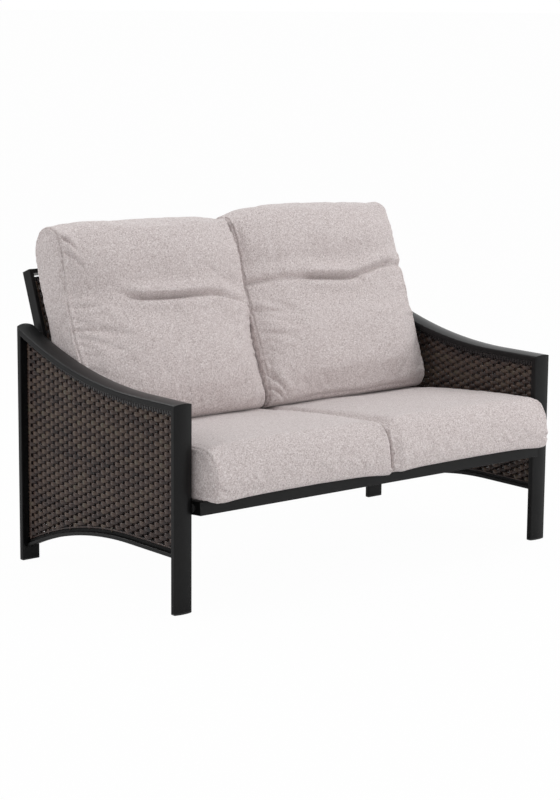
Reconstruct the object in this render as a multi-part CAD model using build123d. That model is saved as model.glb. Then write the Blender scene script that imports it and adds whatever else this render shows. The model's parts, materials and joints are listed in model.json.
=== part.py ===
from build123d import *

import os
from collections import namedtuple
from math import acos, copysign, cos, radians, sin, sqrt, tan

os.makedirs("parts", exist_ok=True)

# Patio loveseat. Millimetres, X across, the front faces -Y, Z up.
# Everything is built with Y = 0 at the front of the front legs. The finished part is then
# moved so that its origin lies on the floor under the middle of its bounding box.
# "right" is the +X side; the left side is its mirror image.

# Driving dimensions
overall_width = 1400.0  # outside of one arm to outside of the other
arm_length = 761.0  # front of the front leg to back of the rear leg
arm_height = 568.5  # floor to the crest of the arm's level front

# Arm tube: flat towards the inside of the arm, crowned face outwards
arm_tube_width = 58.0
arm_tube_depth = 21.3
arm_tube_crown = 4.5
arm_tube_corner = 5.0
arm_tube_wall = 2.0
arm_level_length = 180.0  # where the level front of the arm begins to rise
arm_bend_radius = 1450.0  # radius of the crest of the rising arm
arm_rise_angle = 23.0  # degrees, slope of the arm's straight rear end

# Arch rail at the foot of each arm panel
arch_clearance = 150.0  # floor to the level part of the arch
arch_level_length = 230.0
arch_bend_radius = 1205.0
arch_sweep = 30.0  # degrees, more than the rear leg lets the arch turn
arch_rail_width = 22.0
arch_rail_thickness = 11.0
arch_rail_corner = 2.0
arch_rail_wall = 1.6
arch_rail_recess = 12.0  # outer face of the leg to outer face of the arch rail

# Foot glides
glide_thickness = 5.0
glide_chamfer = 1.4
glide_plug_height = 14.0
plug_clearance = 0.2

# Woven panels and the bars that they are woven on
weave_bar_size = 10.0
weave_thickness = 10.0
weave_wrap_room = 2.5  # room for a strand between a bar and its neighbour
sill_thickness = 5.0
sill_height = 15.0

# Seat frame of rectangular tube
side_gap = 6.7  # inner face of the legs to outer face of the seat frame
rail_height = 38.0
rail_width = 25.0
rail_corner = 2.5
rail_wall = 1.8
seat_tilt = 4.6  # degrees, lower at the back
rail_overhang = 23.6  # lower front edge of the front rail ahead of the legs
rail_clearance = 266.6  # floor to the lower front edge of the front rail
rail_end_margin = 14.0  # rear bolt to the end of a side rail
end_cap_thickness = 2.0
end_cap_plug = 12.0

# Webbing straps and their rivets
strap_width = 50.0
strap_thickness = 2.5
straps_per_seat = 5
strap_setback = 4.0  # front of the front rail to the end of a strap
rivet_setback = 10.0  # end of a strap to its rivet
rivet_radius = 2.4
rivet_head_radius = 4.5
rivet_head_height = 0.5
rivet_tail = 3.0
rivet_clearance = 0.1

# Back frame of flat tube
back_lean = 20.75  # degrees from upright
back_tube_width = 12.7
back_tube_depth = 38.0
back_tube_corner = 1.5
back_tube_wall = 1.5
back_top_height = 841.0  # floor to the front top corner of a back post
back_slot = 8.0  # open slot between the top rail and the woven back
back_bottom_lift = 34.0  # seat frame to the bottom rail, along the back
slot_spacer_width = 12.0
slot_spacer_share = 0.5  # place of the outer spacers between the middle and a post

# Bolts that hold the arms to the seat and back frames
bolt_radius = 4.0
bolt_clearance = 0.25
bolt_head_radius = 6.5
bolt_head_height = 4.4
bolt_head_round = 2.0
bolt_socket_radius = 2.9
bolt_socket_depth = 2.4
spacer_radius = 12.0
insert_body_radius = 5.5
insert_flange_radius = 7.0
insert_flange = 1.0
insert_length = 14.0
insert_clearance = 0.05
upper_bolt_depth = 7.2  # front of a back post to the upper bolt
upper_bolt_setback = 34.1  # upper bolt to the rear face of the rear leg

# Cushions
seat_cushion_thickness = 141.0
seat_cushion_overhang = 63.0  # cushion ahead of the seat frame
seat_cushion_back_gap = 3.0  # cushion to the foot of the back posts
seat_cushion_crown = 9.0
back_cushion_height = 612.5
back_cushion_thickness = 134.0
back_cushion_standoff = 27.0  # front of the back posts to the cushion's rear seam
back_cushion_crown = 40.0
cushion_side_gap = 9.0  # inner face of the legs to the side of a cushion
cushion_middle_gap = 1.4  # between the two cushions of a pair
cushion_side_swell = 5.5  # side panel ahead of its seam
cushion_clearance = 0.3  # between a cushion and what carries it

overrun = 60.0  # how far a cutting or trimmed piece runs past the cut

# Corners of a cushion's outline, in order from the rear bottom, as shares of the cushion's
# own depth or thickness and of its thickness or height
seat_outline_shares = ((1.0, 0.0), (0.998, 0.97), (0.79, 1.0), (0.42, 1.03), (0.035, 0.965), (0.0, 0.46), (0.012, 0.0))
# Where each corner goes in the middle of the cushion, as shares of the crown
seat_swell_shares = ((0.0, 0.0), (0.0, 0.25), (0.0, 0.45), (0.0, 0.9), (-0.1, 0.5), (-0.15, 0.0), (1.0, 0.95))
# How much of the shorter run beside it each rounded corner takes up
seat_softness_shares = (0.12, 0.28, 0.45, 0.45, 0.46, 0.45, 0.3)

back_outline_shares = (
    (0.0, 0.0),
    (1.03, -0.02),
    (1.02, 0.31),
    (0.91, 0.625),
    (1.02, 0.84),
    (0.90, 0.99),
    (0.16, 1.0),
    (0.02, 0.85),
    (0.04, 0.625),
    (0.0, 0.30),
)
back_swell_shares = (
    (-0.1, 0.0),
    (0.42, 0.0),
    (1.0, 0.0),
    (0.5, 0.0),
    (1.1, 0.0),
    (0.3, 0.42),
    (0.1, 0.5),
    (-0.84, 0.0),
    (-0.5, 0.0),
    (-0.66, 0.0),
)
back_softness_shares = (0.3, 0.42, 0.46, 0.2, 0.46, 0.42, 0.45, 0.4, 0.3, 0.42)

# Sections across a cushion from side seam to side seam: place, and how far the crown has risen
station_shares = ((0.0, 0.0), (0.12, 0.62), (0.5, 1.0), (0.88, 0.62), (1.0, 0.0))
side_inset_shares = (0.05, 0.14)  # how far the side panel's flat is drawn in from its seam

# Places that follow from the dimensions
leg_inner_x = overall_width / 2 - arm_tube_width
arm_middle_x = overall_width / 2 - arm_tube_width / 2
tube_side_middle = (arm_tube_crown + arm_tube_depth) / 2  # crest to the middle of the tube's flat sides
frame_outer_x = leg_inner_x - side_gap
frame_inner_x = frame_outer_x - rail_width
post_inner_x = frame_outer_x - back_tube_width
rear_leg_front_y = arm_length - arm_tube_depth
lean = radians(back_lean)
tilt = radians(seat_tilt)
fold = lean - tilt  # between the back and square to the seat

Bend = namedtuple("Bend", "level start radius angle")
arm_crest = Bend(arm_height, arm_level_length, arm_bend_radius, radians(arm_rise_angle))
arch_underside = Bend(arch_clearance, arch_level_length, -arch_bend_radius, radians(arch_sweep))


# The two curves that the arms follow

def bend_end(bend, rise):
    """Y and Z where the curve, raised square to itself by rise, runs straight again."""
    radius = bend.radius - rise
    return bend.start + abs(radius) * sin(bend.angle), bend.level + bend.radius - radius * cos(bend.angle)


def height_at(bend, rise, y):
    """Height of the curve, raised square to itself by rise, at one depth."""
    radius = bend.radius - rise
    end_y, end_z = bend_end(bend, rise)
    if y <= bend.start:
        return bend.level + rise
    if y <= end_y:
        return bend.level + bend.radius - copysign(sqrt(radius**2 - (y - bend.start) ** 2), radius)
    return end_z + copysign(tan(bend.angle), radius) * (y - end_y)


# Frames of reference

def meet(point_a, direction_a, point_b, direction_b):
    """Where two lines in the YZ plane cross."""
    cross = direction_a[0] * direction_b[1] - direction_a[1] * direction_b[0]
    gap = (point_b[0] - point_a[0], point_b[1] - point_a[1])
    reach = (gap[0] * direction_b[1] - gap[1] * direction_b[0]) / cross
    return point_a[0] + reach * direction_a[0], point_a[1] + reach * direction_a[1]


seat_plane = Plane(
    origin=(0, -rail_overhang, rail_clearance),
    x_dir=(1, 0, 0),
    z_dir=(0, sin(tilt), cos(tilt)),
)


def seat_point(along, above):
    """Y and Z of a point given along the seat from its front edge, and above the rails' underside."""
    y = -rail_overhang + along * cos(tilt) + above * sin(tilt)
    z = rail_clearance - along * sin(tilt) + above * cos(tilt)
    return y, z


up_back = (sin(lean), cos(lean))
out_of_back = (-cos(lean), sin(lean))
along_seat = (cos(tilt), -sin(tilt))

# The upper bolt lies in the middle of the arm tube, and the front of the posts runs past it.
# The back's origin is where that front meets the top of the seat rails.
upper_bolt_y = arm_length - upper_bolt_setback
upper_bolt = (upper_bolt_y, height_at(arm_crest, -tube_side_middle, upper_bolt_y))
beside_bolt = tuple(place + upper_bolt_depth * out for place, out in zip(upper_bolt, out_of_back))
back_top = meet(beside_bolt, up_back, (0, back_top_height), (1, 0))
back_foot = meet(beside_bolt, up_back, seat_point(0, rail_height), along_seat)
back_length = sqrt((back_top[0] - back_foot[0]) ** 2 + (back_top[1] - back_foot[1]) ** 2)
back_foot_along = (back_foot[0] - seat_point(0, rail_height)[0]) / cos(tilt)

back_plane = Plane(
    origin=(0, *back_foot),
    x_dir=(1, 0, 0),
    z_dir=(0, *out_of_back),
)


def back_point(out, up):
    """Y and Z of a point given out from the front of the posts, and up along them."""
    y = back_foot[0] + up * up_back[0] + out * out_of_back[0]
    z = back_foot[1] + up * up_back[1] + out * out_of_back[1]
    return y, z


def side_plane(x):
    """Plane square to X, with Y and Z as its own axes."""
    return Plane(origin=(x, 0, 0), x_dir=(0, 1, 0), z_dir=(1, 0, 0))


def across(x, place):
    """Plane square to X at a place in Y and Z, for bolts, spacers and their holes."""
    return Plane(origin=(x, *place), x_dir=(0, 1, 0), z_dir=(1, 0, 0))


def mitre(corner, along_a, along_b):
    """Plane that halves the corner between two members; member a lies on its upper side."""
    a, b = Vector(*along_a).normalized(), Vector(*along_b).normalized()
    return Plane(origin=corner, z_dir=a - b)


def mirrored(part):
    """The same part on the other side of the middle."""
    return mirror(part, about=Plane.YZ)


# Faces along the curves

def bend_edges(bend, rise, y_from, y_to):
    """The raised curve from one depth to another, as lines and one arc."""
    end_y = bend_end(bend, rise)[0]
    stops = [y_from, *(y for y in (bend.start, end_y) if y_from < y < y_to), y_to]
    edges = []
    for first, last in zip(stops, stops[1:]):
        points = [(y, height_at(bend, rise, y)) for y in (first, (first + last) / 2, last)]
        if first >= bend.start and last <= end_y:
            edges.append(ThreePointArc(*points))
        else:
            edges.append(Line(points[0], points[-1]))
    return edges


def band(low, low_rise, high, high_rise, y_from, y_to):
    """Face between two raised curves, closed by upright ends."""
    edges = bend_edges(low, low_rise, y_from, y_to) + bend_edges(high, high_rise, y_from, y_to)
    for y in (y_from, y_to):
        edges.append(Line((y, height_at(low, low_rise, y)), (y, height_at(high, high_rise, y))))
    return make_face(edges)


def slab(face, x_middle, thickness):
    """A side-view face given a thickness about one X."""
    return extrude(side_plane(x_middle - thickness / 2) * face, thickness)


# Tube sections

def crowned_outline(inset):
    """Arm tube outline drawn in by inset: flat back on the X axis, crowned face towards +Y."""
    half = arm_tube_width / 2 - inset
    edge = arm_tube_depth - arm_tube_crown - inset
    sides = Polyline((-half, edge), (-half, inset), (half, inset), (half, edge))
    face = make_face(sides + ThreePointArc((half, edge), (0, arm_tube_depth - inset), (-half, edge)))
    face = fillet(face.vertices().group_by(Axis.Y)[-1], arm_tube_corner - inset)
    return fillet(face.vertices().group_by(Axis.Y)[0], (arm_tube_corner - inset) / 2)


def box_section(width, height, corner, wall):
    """Rectangular tube section about its own middle."""
    outer = RectangleRounded(width, height, corner)
    return outer - Rectangle(width - 2 * wall, height - 2 * wall)


def shaft(x, place, radius, length):
    """Round bar along X."""
    return extrude(across(x, place) * Circle(radius), length)


# Places of the three bolts on each side: front leg, rear leg, and back post to arm

def leg_bolt(y):
    """The bolt at the middle of a leg and of a seat side rail."""
    along = (y + rail_overhang - rail_height / 2 * sin(tilt)) / cos(tilt)
    return seat_point(along, rail_height / 2)


front_bolt = leg_bolt(tube_side_middle)
rear_bolt = leg_bolt(arm_length - tube_side_middle)
arm_slope = (cos(arm_crest.angle), sin(arm_crest.angle))
bolt_places = (front_bolt, rear_bolt, upper_bolt)
side_rail_length = (rear_bolt[0] + rail_overhang) / cos(tilt) + rail_end_margin


def drill_arm(part):
    """Holes for the threaded inserts in the inner wall of an arm piece."""
    for place in bolt_places:
        hole = shaft(
            leg_inner_x - arm_tube_wall, place, insert_body_radius + insert_clearance, 2 * arm_tube_wall + insert_flange
        )
        part -= hole
    return part


# Arms

front_corner = (arm_middle_x, 0, arm_height)
rear_corner = (arm_middle_x, arm_length, height_at(arm_crest, 0, arm_length))
front_mitre = mitre(front_corner, (0, 1, 0), (0, 0, -1))
rear_mitre = mitre(rear_corner, (0, -arm_slope[0], -arm_slope[1]), (0, 0, -1))


def leg(flat_y, facing, top, cut):
    """Upright arm tube whose flat side is at flat_y, cut off by the mitre under the arm."""
    foot = Plane(origin=(arm_middle_x, flat_y, glide_thickness), x_dir=(facing, 0, 0), z_dir=(0, 0, 1))
    section = crowned_outline(0) - crowned_outline(arm_tube_wall)
    upright = extrude(foot * section, top + overrun - glide_thickness)
    return drill_arm(split(upright, bisect_by=cut, keep=Keep.BOTTOM))


def arm_rail():
    """Arm tube bent along the crest curve and mitred to both legs."""
    path = Wire(
        [side_plane(arm_middle_x) * e for e in bend_edges(arm_crest, -arm_tube_depth, -overrun, arm_length + overrun)]
    )
    start = Plane(origin=path @ 0, x_dir=(-1, 0, 0), z_dir=(0, 1, 0))
    rail = sweep(start * crowned_outline(0), path=path)
    rail -= sweep(start * crowned_outline(arm_tube_wall), path=path)
    rail = split(rail, bisect_by=front_mitre, keep=Keep.TOP)
    return drill_arm(split(rail, bisect_by=rear_mitre, keep=Keep.TOP))


def glide(flat_y, facing):
    """Nylon foot: a cap of the tube's outline with a plug up the tube."""
    foot = Plane(origin=(arm_middle_x, flat_y, 0), x_dir=(facing, 0, 0), z_dir=(0, 0, 1))
    cap = extrude(foot * crowned_outline(0), glide_thickness)
    cap = chamfer(cap.faces().sort_by(Axis.Z)[0].edges(), glide_chamfer)
    plug = extrude(foot.offset(glide_thickness) * crowned_outline(arm_tube_wall + plug_clearance), glide_plug_height)
    return cap + plug


def arch_rail():
    """Flat tube that arches from leg to leg under the woven panel."""
    middle_x = overall_width / 2 - arch_rail_recess - arch_rail_width / 2
    face = band(arch_underside, 0, arch_underside, arch_rail_thickness, arm_tube_depth, rear_leg_front_y)
    rail = slab(face, middle_x, arch_rail_width)
    long_edges = rail.edges().filter_by(Axis.X, reverse=True).filter_by(Axis.Z, reverse=True)
    rail = fillet(long_edges, arch_rail_corner)
    inside = band(
        arch_underside,
        arch_rail_wall,
        arch_underside,
        arch_rail_thickness - arch_rail_wall,
        arm_tube_depth,
        rear_leg_front_y,
    )
    return rail - slab(inside, middle_x, arch_rail_width - 2 * arch_rail_wall)


sill_top = arch_rail_thickness + sill_height
panel_top = -(arm_tube_depth + weave_wrap_room + weave_bar_size)
panel_front_y = arm_tube_depth + weave_wrap_room + weave_bar_size
panel_rear_y = rear_leg_front_y - weave_wrap_room - weave_bar_size


def weave_sill():
    """Flat bar on the arch rail that closes the foot of the panel."""
    face = band(arch_underside, arch_rail_thickness, arch_underside, sill_top, arm_tube_depth, rear_leg_front_y)
    return slab(face, arm_middle_x, sill_thickness)


def panel_piece(y_from, y_to, thickness):
    """Upright piece of the panel between the sill and the top bar."""
    return slab(band(arch_underside, sill_top, arm_crest, panel_top, y_from, y_to), arm_middle_x, thickness)


def weave_top_bar():
    """Bar under the arm that the panel's strands hang from."""
    face = band(
        arm_crest,
        panel_top,
        arm_crest,
        panel_top + weave_bar_size,
        panel_front_y - weave_bar_size,
        panel_rear_y + weave_bar_size,
    )
    return slab(face, arm_middle_x, weave_bar_size)


# Bolts, spacers and threaded inserts

def bolt(head_x, place, reach):
    """Button-head bolt along X with a hexagon socket; head_x is under the head."""
    head = shaft(head_x - bolt_head_height, place, bolt_head_radius, bolt_head_height)
    head = fillet(head.faces().sort_by(Axis.X)[0].edges(), bolt_head_round)
    socket = RegularPolygon(bolt_socket_radius, 6)
    head -= extrude(across(head_x - bolt_head_height, place) * socket, bolt_socket_depth)
    return head + shaft(head_x, place, bolt_radius, reach)


def arm_bolts():
    """The three bolts of one side, reaching through the frame into the arm."""
    reach = side_gap + insert_length - insert_flange
    heads = (frame_inner_x, frame_inner_x, post_inner_x)
    return [bolt(x, place, frame_outer_x - x + reach) for x, place in zip(heads, bolt_places)]


def spacers():
    """Round spacers between the frame and the arm's inserts."""
    rings = []
    for place in bolt_places:
        ring = shaft(frame_outer_x, place, spacer_radius, side_gap - insert_flange)
        rings.append(ring - shaft(frame_outer_x, place, bolt_radius + bolt_clearance, side_gap))
    rings[-1] = upper_spacer()
    return rings


def upper_spacer():
    """Smaller spacer at the post, whose edge stays behind the front of the post."""
    ring = shaft(frame_outer_x, upper_bolt, upper_bolt_depth, side_gap - insert_flange)
    return ring - shaft(frame_outer_x, upper_bolt, bolt_radius + bolt_clearance, side_gap)


def inserts():
    """Threaded inserts in the arm's inner wall, flange outside and body inside."""
    pieces = []
    for place in bolt_places:
        piece = shaft(leg_inner_x - insert_flange, place, insert_flange_radius, insert_flange)
        piece += shaft(leg_inner_x, place, insert_body_radius, insert_length - insert_flange)
        pieces.append(piece - shaft(leg_inner_x - side_gap, place, bolt_radius + insert_clearance, insert_length + side_gap))
    return pieces


# Seat frame

def seat_rail(x_middle, along_middle, x_size, along_size, direction):
    """Rectangular tube of the seat frame in the seat's own frame, before placing."""
    length = x_size if direction == "across" else along_size
    section = box_section(rail_width, rail_height, rail_corner, rail_wall)
    facing = (1, 0, 0) if direction == "across" else (0, 1, 0)
    start = (x_middle - x_size / 2, along_middle) if direction == "across" else (x_middle, along_middle - along_size / 2)
    beside = (0, 1, 0) if direction == "across" else (-1, 0, 0)
    plane = Plane(origin=(*start, rail_height / 2), x_dir=beside, z_dir=facing)
    return extrude(plane * section, length)


rivet_front = strap_setback + rivet_setback
rear_rail_front = back_foot_along + (back_tube_depth / cos(fold) - rail_width) / 2
strap_end = rear_rail_front + rail_width - strap_setback
rivet_rear = strap_end - rivet_setback
bay_width = frame_inner_x - rail_width / 2
strap_pitch = bay_width / straps_per_seat
strap_middles = [rail_width / 2 + strap_pitch * (i + 1 / 2) for i in range(straps_per_seat)]
rivet_places = [(x, along) for x in strap_middles for along in (rivet_front, rivet_rear)]
all_rivet_places = rivet_places + [(-x, along) for x, along in rivet_places]


def drill_rivets(part, places):
    """Rivet holes down through a strap or the top wall of a rail, in the seat's own frame."""
    for x, along in places:
        start = Plane(origin=(x, along, rail_height - rail_wall - rivet_clearance))
        depth = rail_wall + strap_thickness + 2 * rivet_clearance
        part -= extrude(start * Circle(rivet_radius + rivet_clearance), depth)
    return part


def seat_front_rail():
    """Front rail, mitred to the side rails."""
    rail = seat_rail(0, rail_width / 2, 2 * frame_outer_x, rail_width, "across")
    for side in (1, -1):
        corner = mitre((side * frame_outer_x, 0, 0), (-side, 0, 0), (0, 1, 0))
        rail = split(rail, bisect_by=corner, keep=Keep.TOP)
    return drill_rivets(rail, [p for p in all_rivet_places if p[1] == rivet_front])


def seat_side_rail():
    """Right side rail, mitred at the front and drilled for both arm bolts."""
    rail = seat_rail(frame_outer_x - rail_width / 2, side_rail_length / 2, rail_width, side_rail_length, "along")
    corner = mitre((frame_outer_x, 0, 0), (0, 1, 0), (-1, 0, 0))
    rail = seat_plane.location * split(rail, bisect_by=corner, keep=Keep.TOP)
    for place in (front_bolt, rear_bolt):
        rail -= shaft(frame_inner_x - overrun, place, bolt_radius + bolt_clearance, rail_width + 2 * overrun)
    return rail


def seat_rear_rail():
    """Rail under the foot of the back, between the side rails."""
    rail = seat_rail(0, rear_rail_front + rail_width / 2, 2 * frame_inner_x, rail_width, "across")
    return drill_rivets(rail, [p for p in all_rivet_places if p[1] == rivet_rear])


def seat_middle_rail():
    """Rail from front to back in the middle, between the two seats."""
    length = rear_rail_front - rail_width
    return seat_rail(0, rail_width + length / 2, rail_width, length, "along")


def rail_end_cap():
    """Plastic cap in the open rear end of the right side rail."""
    plane = Plane(
        origin=(frame_outer_x - rail_width / 2, side_rail_length, rail_height / 2), x_dir=(-1, 0, 0), z_dir=(0, 1, 0)
    )
    cap = extrude(plane * RectangleRounded(rail_width, rail_height, rail_corner), end_cap_thickness)
    inset = 2 * (rail_wall + plug_clearance)
    plug_length = end_cap_plug - bolt_radius
    return cap + extrude(plane * Rectangle(rail_width - inset, rail_height - inset), -plug_length)


def strap(x):
    """Webbing strap from the front rail to the rear rail, resting on both."""
    length = strap_end - strap_setback
    start = Plane(origin=(x, strap_setback + length / 2, rail_height))
    band_piece = extrude(start * Rectangle(strap_width, length), strap_thickness)
    return drill_rivets(band_piece, [p for p in all_rivet_places if p[0] == x])


def rivet(x, along):
    """Rivet with a low head on the strap and a shank through the rail's top wall."""
    top = Plane(origin=(x, along, rail_height + strap_thickness))
    head = extrude(top * Circle(rivet_head_radius), rivet_head_height)
    head = chamfer(head.faces().sort_by(Axis.Z)[-1].edges(), rivet_head_height / 2)
    return head + extrude(top * Circle(rivet_radius), -(strap_thickness + rail_wall + rivet_tail))


# Back frame

back_tube_middle = -back_tube_depth / 2
weave_top = back_length - back_tube_width - back_slot - weave_wrap_room
weave_foot = back_bottom_lift + back_tube_width
back_bar_x = post_inner_x - weave_wrap_room - weave_bar_size / 2


def back_slab(x_middle, x_size, up_from, up_to, out_middle, out_size):
    """Solid block in the back's own frame."""
    plane = Plane(origin=(x_middle, (up_from + up_to) / 2, out_middle - out_size / 2))
    return extrude(plane * Rectangle(x_size, up_to - up_from), out_size)


def back_post():
    """Right back post, standing on the seat side rail and mitred to the top rail."""
    section = box_section(back_tube_width, back_tube_depth, back_tube_corner, back_tube_wall)
    foot = Plane(
        origin=(frame_outer_x - back_tube_width / 2, -overrun, back_tube_middle), x_dir=(1, 0, 0), z_dir=(0, 1, 0)
    )
    post = extrude(foot * section, back_length + 2 * overrun)
    corner = mitre((frame_outer_x, back_length, 0), (0, -1, 0), (-1, 0, 0))
    post = back_plane.location * split(post, bisect_by=corner, keep=Keep.TOP)
    post = split(post, bisect_by=seat_plane.offset(rail_height), keep=Keep.TOP)
    return post - shaft(post_inner_x - overrun, upper_bolt, bolt_radius + bolt_clearance, 2 * overrun)


def back_top_rail():
    """Top rail, mitred to both posts."""
    section = box_section(back_tube_depth, back_tube_width, back_tube_corner, back_tube_wall)
    start = Plane(
        origin=(-frame_outer_x - overrun, back_length - back_tube_width / 2, back_tube_middle),
        x_dir=(0, 0, 1),
        z_dir=(1, 0, 0),
    )
    rail = extrude(start * section, 2 * (frame_outer_x + overrun))
    for side in (1, -1):
        corner = mitre((side * frame_outer_x, back_length, 0), (-side, 0, 0), (0, -1, 0))
        rail = split(rail, bisect_by=corner, keep=Keep.TOP)
    return rail


def back_bottom_rail():
    """Rail between the posts under the woven back."""
    section = box_section(back_tube_depth, back_tube_width, back_tube_corner, back_tube_wall)
    start = Plane(
        origin=(-post_inner_x, back_bottom_lift + back_tube_width / 2, back_tube_middle),
        x_dir=(0, 0, 1),
        z_dir=(1, 0, 0),
    )
    return extrude(start * section, 2 * post_inner_x)


def back_pieces():
    """The solid pieces inside the back frame, each in the back's own frame."""
    bar_half = weave_bar_size / 2
    inner_x = back_bar_x - bar_half
    side_bar = back_slab(
        back_bar_x, weave_bar_size, weave_foot, weave_top - weave_bar_size, back_tube_middle, weave_bar_size
    )
    top_bar = back_slab(
        0, 2 * (back_bar_x + bar_half), weave_top - weave_bar_size, weave_top, back_tube_middle, weave_bar_size
    )
    panel = back_slab(
        0, 2 * inner_x, weave_foot, weave_top - weave_bar_size, back_tube_middle, weave_thickness
    )
    stay_depth = (back_tube_depth - weave_thickness) / 2
    stay_out = -back_tube_depth + stay_depth / 2
    stay = back_slab(0, back_tube_width, weave_foot, back_length - back_tube_width, stay_out, stay_depth)
    slot_spacers = [
        back_slab(x, slot_spacer_width, weave_top, back_length - back_tube_width, back_tube_middle, weave_bar_size)
        for x in (-slot_spacer_share * back_bar_x, 0, slot_spacer_share * back_bar_x)
    ]
    return side_bar, top_bar, panel, stay, slot_spacers


# Cushions

def soft_face(x, points, softness_shares):
    """Outline with every corner rounded, on the plane square to X at x."""
    corners = [Vector(*p) for p in points]
    radii = []
    for i, corner in enumerate(corners):
        back, ahead = corners[i - 1] - corner, corners[(i + 1) % len(corners)] - corner
        half_turn = (radians(180) - acos(back.dot(ahead) / (back.length * ahead.length))) / 2
        radii.append(softness_shares[i] * min(back.length, ahead.length) / tan(half_turn))
    return side_plane(x) * make_face(FilletPolyline(*corners, radius=radii, close=True))


def drawn_in(points, shares):
    """The same outline drawn in towards its own middle."""
    middle = [sum(p[i] for p in points) / len(points) for i in (0, 1)]
    return [tuple(c + (m - c) * s for c, m, s in zip(p, middle, shares)) for p in points]


def cushion(outline_at, softness_shares):
    """Right cushion of a pair: a crowned body between its side seams, and two swelling side panels."""
    seam_low = cushion_middle_gap / 2 + cushion_side_swell
    seam_high = leg_inner_x - cushion_side_gap - cushion_side_swell
    width = seam_high - seam_low
    sections = [
        soft_face(seam_low + share * width, outline_at(rise), softness_shares) for share, rise in station_shares
    ]
    body = loft(sections)
    seam = outline_at(0)
    flat = drawn_in(seam, side_inset_shares)
    for at, beyond in ((seam_low, -cushion_side_swell), (seam_high, cushion_side_swell)):
        ends = [soft_face(at, seam, softness_shares), soft_face(at + beyond, flat, softness_shares)]
        body += loft(ends, ruled=True)
    return body


seat_cushion_depth = seat_cushion_overhang + back_foot_along - seat_cushion_back_gap
seat_cushion_foot = rail_height + strap_thickness + rivet_head_height + cushion_clearance


def seat_outline(rise):
    """Side outline of a seat cushion where its crown has risen by the share rise."""
    points = []
    for (along, above), (swell_along, swell_above) in zip(seat_outline_shares, seat_swell_shares):
        crown = rise * seat_cushion_crown
        points.append(
            seat_point(
                along * seat_cushion_depth - seat_cushion_overhang + crown * swell_along,
                seat_cushion_foot + above * seat_cushion_thickness + crown * swell_above,
            )
        )
    return points


seat_rear_top, seat_rest = seat_outline(1)[1:3]
seat_fall = (seat_rear_top[0] - seat_rest[0], seat_rear_top[1] - seat_rest[1])


def back_cushion_foot(out):
    """How far up the back a cushion's underside starts, so that it lies on the seat cushion."""
    start = back_point(out, 0)
    y, z = meet(start, up_back, seat_rest, seat_fall)
    return (y - start[0]) * up_back[0] + (z - start[1]) * up_back[1] + cushion_clearance / cos(fold)


def back_outline(rise):
    """Side outline of a back cushion where its crown has risen by the share rise."""
    points = []
    for (out, up), (swell_out, swell_up) in zip(back_outline_shares, back_swell_shares):
        crown = rise * back_cushion_crown
        out_mm = back_cushion_standoff + out * back_cushion_thickness + crown * swell_out
        foot = back_cushion_foot(back_cushion_standoff + back_cushion_thickness)
        up_mm = foot + up * back_cushion_height + crown * swell_up
        points.append(back_point(out_mm, max(up_mm, back_cushion_foot(out_mm))))
    return points


# Assembly

def gathered(pieces):
    """Separate solids kept together under one name."""
    return Part() + list(pieces)


side_pieces = {
    "front_leg": leg(arm_tube_depth, -1, arm_height, front_mitre),
    "rear_leg": leg(rear_leg_front_y, 1, rear_corner[2], rear_mitre),
    "arm_rail": arm_rail(),
    "arch_rail": arch_rail(),
    "weave_sill": weave_sill(),
    "weave_top_bar": weave_top_bar(),
    "weave_front_bar": panel_piece(panel_front_y - weave_bar_size, panel_front_y, weave_bar_size),
    "weave_rear_bar": panel_piece(panel_rear_y, panel_rear_y + weave_bar_size, weave_bar_size),
    "woven_side": panel_piece(panel_front_y, panel_rear_y, weave_thickness),
    "foot_glides": gathered([glide(arm_tube_depth, -1), glide(rear_leg_front_y, 1)]),
    "arm_bolts": gathered(arm_bolts()),
    "arm_spacers": gathered(spacers()),
    "arm_inserts": gathered(inserts()),
    "seat_side_rail": seat_side_rail(),
    "side_rail_cap": seat_plane.location * rail_end_cap(),
    "seat_straps": seat_plane.location * gathered(strap(x) for x in strap_middles),
    "back_post": back_post(),
    "seat_cushion": cushion(seat_outline, seat_softness_shares),
    "back_cushion": cushion(back_outline, back_softness_shares),
}

back_side_bar, back_top_bar, back_panel, back_stay, back_slot_spacers = back_pieces()
side_pieces["back_weave_bar"] = back_plane.location * back_side_bar

middle_pieces = {
    "seat_front_rail": seat_plane.location * seat_front_rail(),
    "seat_rear_rail": seat_plane.location * seat_rear_rail(),
    "seat_middle_rail": seat_plane.location * seat_middle_rail(),
    "strap_rivets": seat_plane.location * gathered(rivet(x, along) for x, along in all_rivet_places),
    "back_top_rail": back_plane.location * back_top_rail(),
    "back_bottom_rail": back_plane.location * back_bottom_rail(),
    "back_weave_top_bar": back_plane.location * back_top_bar,
    "woven_back": back_plane.location * back_panel,
    "back_stay": back_plane.location * back_stay,
    "back_slot_spacers": back_plane.location * gathered(back_slot_spacers),
}

nodes = dict(middle_pieces)
for name, piece in side_pieces.items():
    nodes["right_" + name] = piece
    nodes["left_" + name] = mirrored(piece)

boxes = [piece.bounding_box() for piece in nodes.values()]
middle_y = (min(b.min.Y for b in boxes) + max(b.max.Y for b in boxes)) / 2

for name, piece in nodes.items():
    export_step(Pos(0, -middle_y, 0) * piece, "parts/" + name + ".step")

print("nodes", len(nodes))
print("size", [round(max(getattr(b.max, a) for b in boxes) - min(getattr(b.min, a) for b in boxes), 1) for a in "XYZ"])
print("front of the front legs at Y", round(-middle_y, 3))
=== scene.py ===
import json
import random
from math import cos, pi, radians, sin, sqrt

import bmesh
import bpy
import numpy as np
from mathutils import Matrix, Vector, kdtree, noise


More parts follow.
